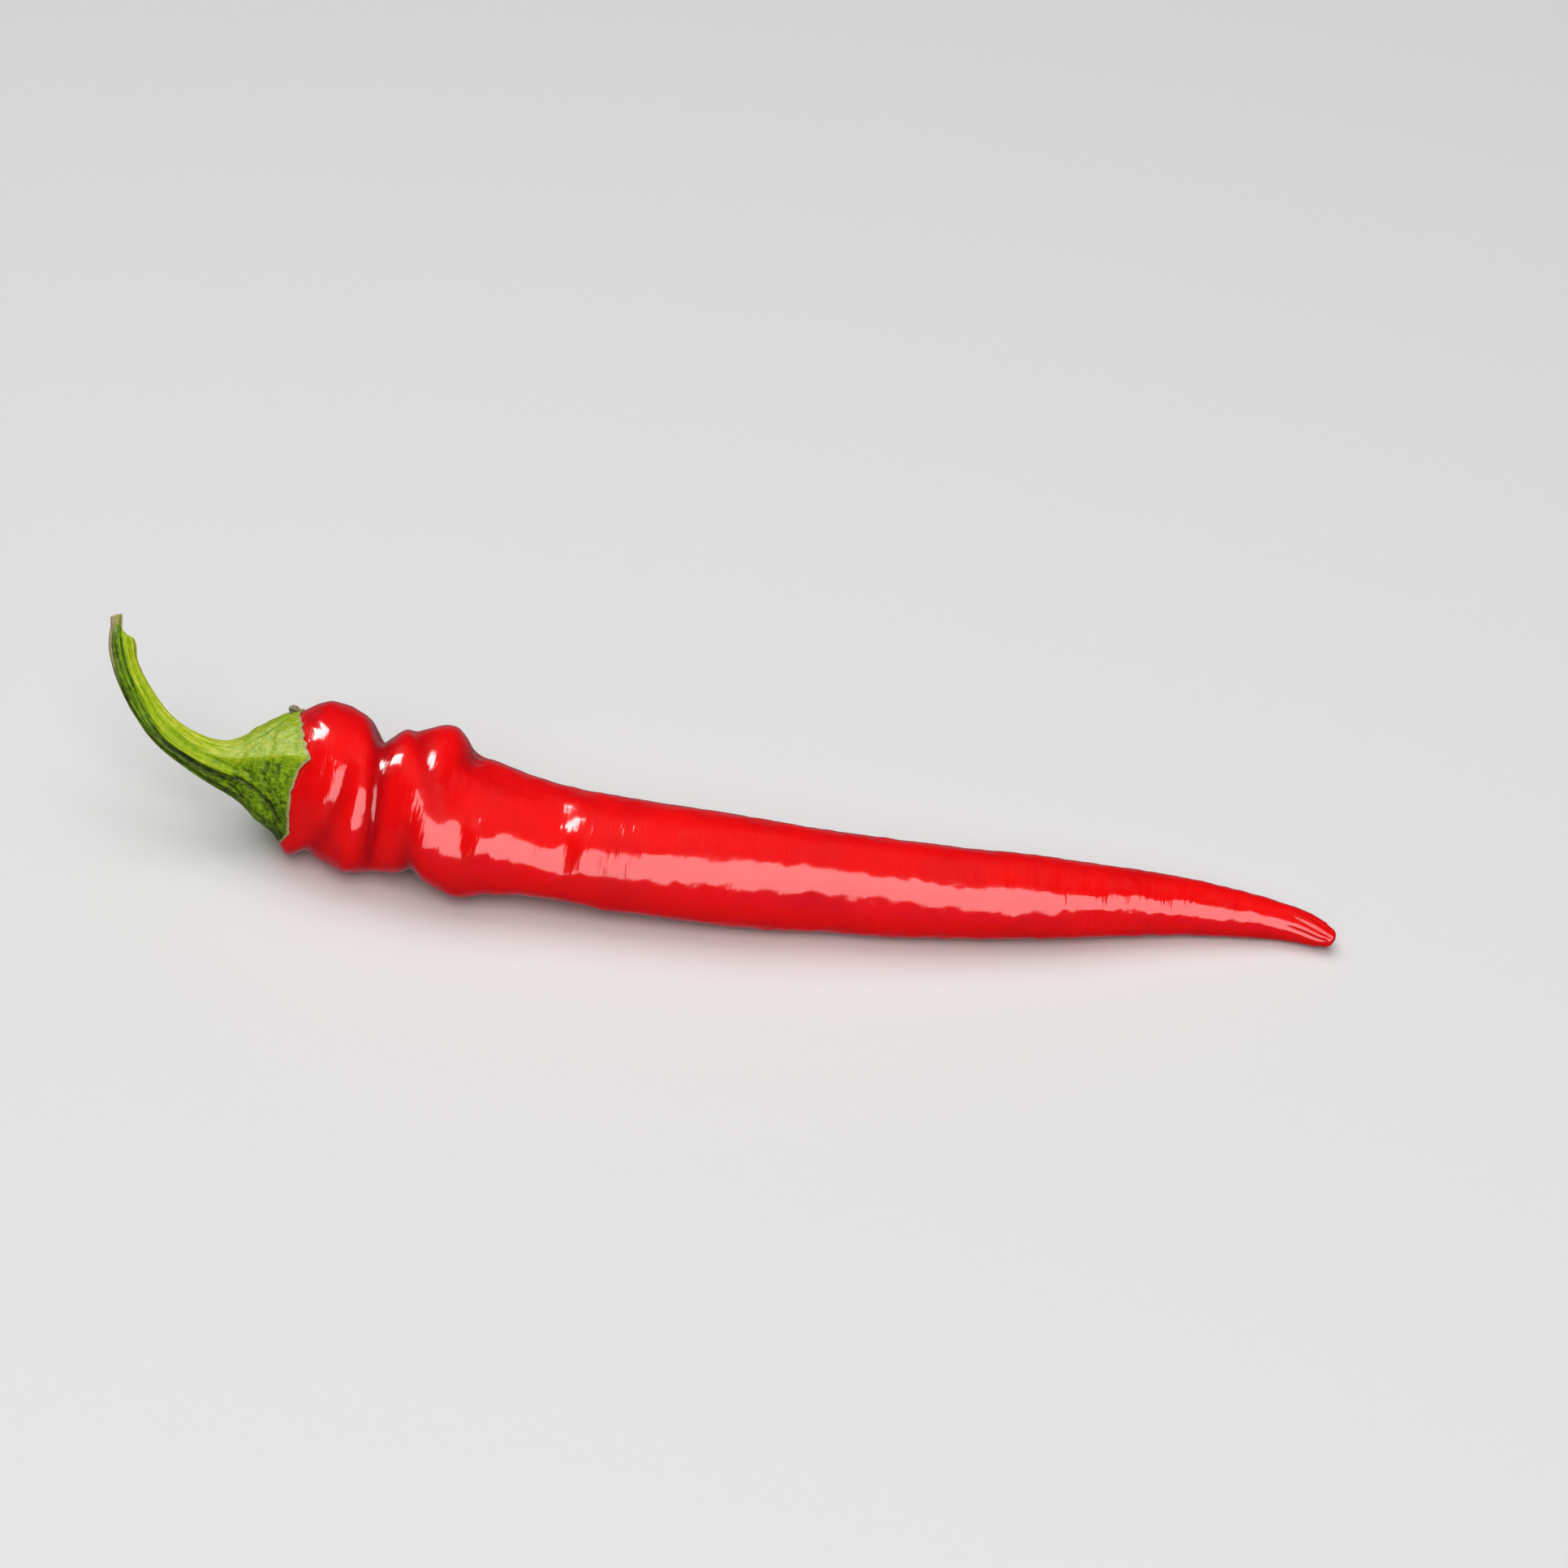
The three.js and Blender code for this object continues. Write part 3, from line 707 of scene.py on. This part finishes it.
def make_stalk():
    side = np.arange(STALK_SIDES)[None, :] * 360 / STALK_SIDES
    lean = np.sin(np.radians(side))
    flare_end, flare_radius = STALK_PROFILE[-1]

    # The torn end is a blunt nub on the outer side of the hook, with a rounded shoulder beside it.
    stem_s, stem_r = even_rows(*stalk_curve, STEM_ROWS)
    stem_station = stem_s[:, None] + 0 * side
    outer = np.radians(turn(side, NUB_SIDE))
    nub_radius = NUB_OFFSET * np.cos(outer) + np.sqrt(NUB_RADIUS**2 - (NUB_OFFSET * np.sin(outer)) ** 2)
    nub_radius = nub_radius * (1 + waver(side, 9, range(3, 14), 0.035))
    knob = 0.3 * bell((stem_s[:, None] + 32.4) / 1.5) * bell(turn(side, 85) / 50)
    stem_radius = stem_r[:, None] + knob
    shoulder = ease(-stem_station, 34.0 - 0.7 * lean, 35.4 - 0.7 * lean)
    stem_radius = stem_radius + shoulder * (nub_radius - stem_radius)
    stem_radius = stem_radius + keels_at(side) * ease(stem_s, -14, flare_end)[:, None]
    arch = np.radians(np.linspace(0, 78, CAP_ROWS))[:, None]
    torn = waver(side, 12, range(3, 9), 0.1) - 0.12 * lean
    cap_station = STALK_END - 0.45 * np.cos(arch) + torn * np.sin(2 * arch)
    cap_radius = stem_radius[:1] * np.sin(arch)

    # Out along the calyx to its rim, and back under it.
    share = np.linspace(0, 1, CALYX_ROWS + 1)[1:, None]
    out_station = flare_end + share * (rim_at(side) - flare_end)
    skin = lambda station: plain_fruit(station) + relief(station, side) + CALYX_SEAT
    wall_start = flare_radius - skin(flare_end)
    wall = CALYX_EDGE + (wall_start - CALYX_EDGE) * (1 - share) ** 1.5 + keels_at(side) * (1 - 0.75 * share**2)
    out_radius = skin(out_station) + wall
    back_share = np.linspace(1, 0, BACK_ROWS)[:, None]
    back_station = flare_end + back_share * (rim_at(side) - flare_end)

    # Over the fruit's dome, hidden, to the spine.
    dome = np.linspace(flare_end, DOME_TOP, DOME_ROWS + 1)[1:, None] + 0 * side
    dome_radius = skin(dome) * np.linspace(1, 0, DOME_ROWS)[:, None]

    station = np.vstack([cap_station, stem_station, out_station, back_station, dome])
    radius = np.vstack([cap_radius, stem_radius, out_radius, skin(back_station), dome_radius])
    first_back = CAP_ROWS + STEM_ROWS + CALYX_ROWS
    outside = np.zeros((len(station), 1))
    outside[CAP_ROWS:first_back] = 1
    to_rim = np.zeros((len(station), 1))
    to_rim[CAP_ROWS + STEM_ROWS : first_back] = share
    to_rim[first_back : first_back + BACK_ROWS] = back_share
    furrow = sum(groove(station, side, *rest) for rest in STALK_FURROWS) * outside * (1 - ease(to_rim, 0.85, 1))
    radius = np.maximum(radius - furrow, 0)
    radius[[0, -1]] = 0
    nub = ease(-station, 34.6 - 0.7 * lean, 35.8 - 0.7 * lean)
    points = place(station, radius, side)

    # Painted light and shade: lighter on the upper side, above the front tooth's keel, along that keel's edge and along
    # the stalk's upper ridge; painted darker in the furrows and below, and darker still on the calyx's lower side by
    # its rim.
    on_calyx = ease(station, -9, -3)
    from_keel = turn(side, FRONT_TOOTH)
    above_keel = ease(from_keel, -7, 8) * (1 - ease(from_keel, 120, 150))
    upper_ridge = ease(turn(side, 10 - 40 * ease(station, -30, -16)), 0, 8) * (lean > -0.3)
    tone_with_painted_light = 0.48 + 0.16 * np.sin(np.radians(side - 10)) * (1 - on_calyx) + 0.26 * above_keel * on_calyx
    tone_with_painted_light = tone_with_painted_light + 0.3 * (1 - on_calyx) * upper_ridge
    tone_with_painted_light = tone_with_painted_light - 0.9 * np.clip(furrow, 0, 0.5) + 0.16 * bell(from_keel / 5) * on_calyx
    tone_with_painted_light = tone_with_painted_light - 0.25 * on_calyx * bell(turn(side, -62) / 30) * ease(station, -4, 0)
    # Dry at the calyx's edge, at the torn end, and in a strip that runs back from it.
    strip = bell(turn(side, -58) / 16) * (1 - ease(station, -32, -27)) * 0.8
    dried = np.clip(0.95 * ease(to_rim, 0.87, 0.95) + 0.55 * nub + strip, 0, 1)
    stalk = closed_body(
        "pepper_stalk",
        points,
        {
            "straight": straightened(station, side, radius),
            "angle": np.radians(side) + 0 * station,
            "ribbed": outside * ease(station, STALK_END, -34) * (1 - 0.8 * ease(station, -10, -3)),
            "wrinkled": outside * (0.2 + 0.8 * ease(station, -12, -5)) * (1 - ease(to_rim, 0.8, 1)),
            "tone_with_painted_light": np.clip(tone_with_painted_light, 0, 1),
            "dried": dried,
        },
    )
    apply_shaping(stalk, make_rib_tree(), {**STALK_RIBS, "Material": make_stalk_tissue()})
    return stalk


CURL_ROWS, CURL_SIDES = 60, 20
CURL_STATION, CURL_SIDE, CURL_LIFT = -1.15, 80, 1.0


def make_curl():
    """The dry curled tip of a sepal, which sits on the rim at the top of the calyx."""
    turns = np.linspace(0, 1, CURL_ROWS)
    sides = np.radians(np.arange(CURL_SIDES) * 360 / CURL_SIDES)[None, :]
    swirl = np.radians(-70 + 560 * turns)
    reach = 0.62 - 0.4 * turns
    path = np.stack([reach * np.cos(swirl) * 1.15, 0.5 * turns - 0.2, reach * np.sin(swirl)], axis=-1)
    along = np.gradient(path, axis=0)
    along /= np.linalg.norm(along, axis=1)[:, None]
    across = np.cross(along, (0, 1, 0))
    across /= np.linalg.norm(across, axis=1)[:, None]
    thick = 0.3 * np.sin(np.pi * (0.06 + 0.9 * turns)) ** 0.5 * (1 - 0.45 * turns)
    ridged = thick[:, None] * (1 + 0.14 * np.sin(5 * sides + 9 * turns[:, None]))
    ridged[[0, -1]] = 0
    points = path[:, None] + ridged[..., None] * (
        np.cos(sides)[..., None] * across[:, None] + 1.5 * np.sin(sides)[..., None] * np.cross(across, along)[:, None]
    )
    seat_radius = plain_fruit(CURL_STATION) + relief(CURL_STATION, CURL_SIDE) + CURL_LIFT
    seat = place(np.array(CURL_STATION), seat_radius, np.array(CURL_SIDE))
    curl = closed_body("calyx_dry_curl", points + seat, {})
    curl.data.materials.append(make_dry_tissue())
    return curl


# ---------------------------------------------------------------- studio
def make_floor():
    """Matt pale board: a fine even tooth, and no shine."""
    mesh = bpy.data.meshes.new("studio_floor")
    reach = 3.0  # metres
    level = -0.02 * MM  # just under the fruit, so that the two surfaces don't coincide
    corners = [(x * reach, y * reach, level) for x, y in ((-1, -1), (1, -1), (1, 1), (-1, 1))]
    mesh.from_pydata(corners, [], [(0, 1, 2, 3)])
    floor = bpy.data.objects.new("studio_floor", mesh)
    bpy.context.collection.objects.link(floor)
    board, tree = new_material("pale_matt_board")
    place_on_board = add_node(tree, "ShaderNodeTexCoord").outputs["Object"]
    tooth = add_node(tree, "ShaderNodeTexNoise", {"Vector": place_on_board, "Scale": 900.0, "Detail": 2.0})
    toothed = add_node(tree, "ShaderNodeBump", {"Height": tooth.outputs["Fac"], "Strength": 0.3, "Distance": 0.05 * MM})
    shader = add_node(
        tree,
        "ShaderNodeBsdfPrincipled",
        {
            "Base Color": linear("#D6D6D4"),
            "Roughness": 0.85,
            "Specular IOR Level": 0.2,
            "Normal": toothed.outputs["Normal"],
        },
    )
    add_node(tree, "ShaderNodeOutputMaterial", {"Surface": shader.outputs["BSDF"]})
    mesh.materials.append(board)
    floor.visible_glossy = False  # the fruit keeps the dark gloss of a pepper in a pile


def make_lamp(name, centre, target, width, height, radiance, in_gloss=True, in_shade=True):
    """A square-cornered soft lamp at centre, in mm, that faces target, with even brightness.
    It shows in gloss, lights matt surfaces, or both."""
    lamp = bpy.data.lights.new(name, "AREA")
    lamp.shape = "RECTANGLE"
    lamp.size, lamp.size_y = width * MM, height * MM
    lamp.energy = radiance * np.pi * lamp.size * lamp.size_y
    holder = bpy.data.objects.new(name, lamp)
    bpy.context.collection.objects.link(holder)
    back = np.array(centre, float) - np.array(target, float)
    back /= np.linalg.norm(back)
    across = np.cross((0, 0, 1) if abs(back[2]) < 0.99 else (0, 1, 0), back)
    across /= np.linalg.norm(across)
    up = np.cross(back, across)
    turned = Matrix([across, up, back]).transposed().to_4x4()
    holder.matrix_world = Matrix.Translation(np.array(centre) * MM) @ turned
    holder.visible_camera = False
    holder.visible_glossy = in_gloss
    holder.visible_diffuse = in_shade


# Glows of the room: (towards, where it fades out, brightness, colour). The first is a pale backdrop low behind
# the pepper, which gives its edges a thin bright rim, and the second a faint violet from low in front.
GLOWS = [
    ((-0.16, 0.80, -0.57), 0.6, 0.13, "#FFFFFF"),
    ((0.18, -0.92, -0.35), 0.9, 0.16, "#6400FF"),
]


def make_lights():
    make_lamp("front_panel", (290, -900, 630), (290, 0, 630), 1420, 1240, 4.6, in_shade=False)
    make_lamp("left_strip", (-470, 150, 470), (0, 0, 0), 240, 500, 17.0, in_shade=False)
    make_lamp("front_fill", (150, -800, 900), (0, 0, 0), 900, 900, 4.3, in_gloss=False)
    make_lamp("overhead_fill", (-100, 200, 1100), (0, 0, 0), 1200, 1200, 2.4, in_gloss=False)
    room = bpy.data.worlds.new("studio_room")
    bpy.context.scene.world = room
    room.use_nodes = True
    tree = room.node_tree
    tree.nodes.clear()
    outwards = add_node(tree, "ShaderNodeTexCoord").outputs["Generated"]
    glow = None
    for towards, fades_out, level, tint in GLOWS:
        near = add_node(
            tree, "ShaderNodeVectorMath", {0: outwards, 1: towards}, operation="DOT_PRODUCT"
        ).outputs["Value"]
        strength = add_node(
            tree,
            "ShaderNodeMapRange",
            {"Value": near, "From Min": fades_out, "From Max": 0.97, "To Min": 0.02, "To Max": level},
            interpolation_type="SMOOTHSTEP",
        ).outputs["Result"]
        light = add_node(
            tree, "ShaderNodeBackground", {"Color": linear(tint), "Strength": strength}
        ).outputs["Background"]
        glow = light if glow is None else add_node(tree, "ShaderNodeAddShader", {0: glow, 1: light}).outputs["Shader"]
    # Seen straight on, past the edge of the table, the room is a plain pale wall.
    wall = add_node(tree, "ShaderNodeBackground", {"Color": linear("#E4E4E2"), "Strength": 1.0}).outputs["Background"]
    seen = add_node(tree, "ShaderNodeLightPath").outputs["Is Camera Ray"]
    room_light = add_node(tree, "ShaderNodeMixShader", {0: seen, 1: glow, 2: wall}).outputs["Shader"]
    add_node(tree, "ShaderNodeOutputWorld", {"Surface": room_light})


def make_camera():
    camera = bpy.data.cameras.new("camera")
    camera.lens, camera.sensor_width = 100, 36
    camera.clip_start = 0.01
    holder = bpy.data.objects.new("camera", camera)
    bpy.context.collection.objects.link(holder)
    azimuth, elevation = np.radians(10.9), np.radians(35)
    distance = 577
    aim = np.array([10.10, 4.31, 15.31])
    across = np.array([np.cos(azimuth), np.sin(azimuth), 0])
    back = np.array([np.sin(azimuth) * np.cos(elevation), -np.cos(azimuth) * np.cos(elevation), np.sin(elevation)])
    up = np.cross(back, across)
    turned = Matrix([across, up, back]).transposed().to_4x4()
    holder.matrix_world = Matrix.Translation((aim + distance * back) * MM) @ turned
    bpy.context.scene.camera = holder


make_floor()
make_lights()
make_camera()
bpy.context.scene.view_settings.view_transform = "Standard"

fruit = make_fruit()
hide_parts("pod")
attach(fruit, "root")

stalk = make_stalk()
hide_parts("stalk")
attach(stalk, "root")

curl = make_curl()
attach(curl, "root")
